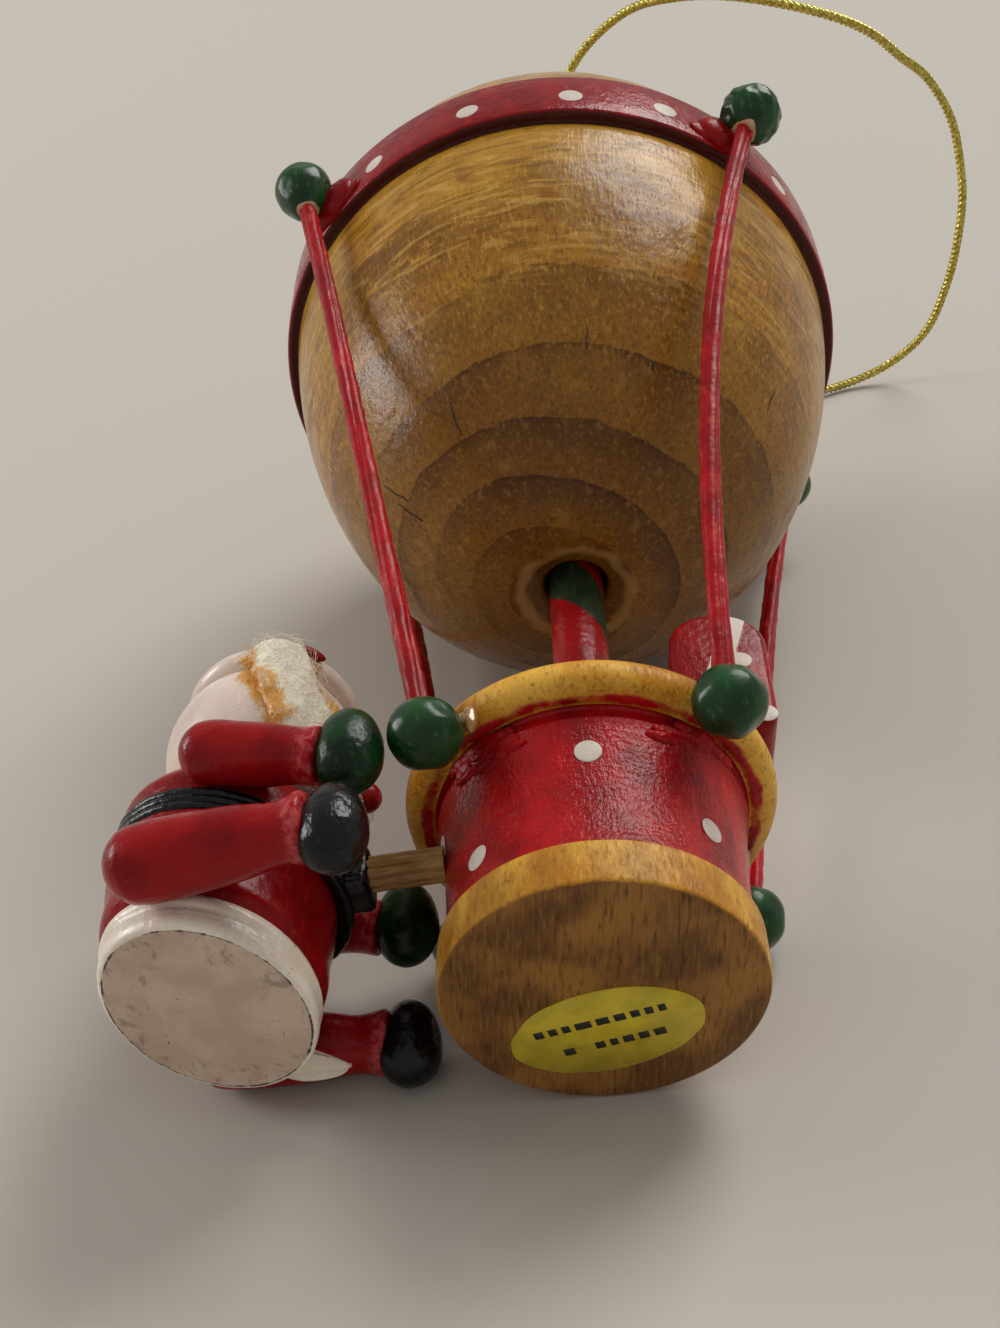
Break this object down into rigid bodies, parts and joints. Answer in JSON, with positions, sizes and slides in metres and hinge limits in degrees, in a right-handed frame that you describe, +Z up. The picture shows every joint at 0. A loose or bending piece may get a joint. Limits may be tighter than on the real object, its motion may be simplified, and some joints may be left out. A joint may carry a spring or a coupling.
{
  "type": "wooden hot air balloon ornament",
  "caption": "Hanging ornament: turned wooden balloon over a painted basket on a pole, held by rods and beads, with a seated Santa at its side.",
  "frame": {"origin": "centre of the bounding box on the surface it lies on, without the hanging cord", "axes": "+Z up from the table, +Y along the lying ornament from the basket towards the balloon's crown"},
  "size_m": [0.0982, 0.1475, 0.061],
  "materials": {
    "lacquered_wood": "clear lacquer, strong growth rings",
    "painted_basket": "red gloss paint, natural rim and base",
    "red_paint": "red gloss paint",
    "green_paint": "dark green gloss paint",
    "black_paint": "black gloss paint",
    "white_paint": "warm white paint, worn",
    "bare_wood": "bare fluted dowel",
    "cotton": "glued cotton fibre",
    "gold_cord": "twisted metallic gold cord"
  },
  "bodies": {
    "root": {"balloon": "lacquered_wood", "basket": "painted_basket", "pole": "red_paint", "gift_parcel": "red_paint", "upper_bead_front_left": "green_paint", "upper_bead_front_right": "green_paint", "upper_bead_rear_right": "green_paint", "upper_bead_rear_left": "green_paint", "lower_bead_front_left": "green_paint", "lower_bead_front_right": "green_paint", "lower_bead_rear_right": "green_paint", "lower_bead_rear_left": "green_paint", "rod_front_left": "red_paint", "rod_front_right": "red_paint", "rod_rear_right": "red_paint", "rod_rear_left": "red_paint", "santa_body": "red_paint", "santa_head": "white_paint", "santa_cap": "red_paint", "santa_beard": "cotton", "santa_nose": "red_paint", "santa_arm_near": "red_paint", "santa_arm_far": "red_paint", "santa_mitten_near": "green_paint", "santa_mitten_far": "green_paint", "santa_leg_near": "red_paint", "santa_leg_far": "red_paint", "santa_boot_near": "black_paint", "santa_boot_far": "black_paint", "belt_buckle": "black_paint", "peg": "bare_wood", "hanging_cord": "gold_cord"}
  },
  "joints": []
}
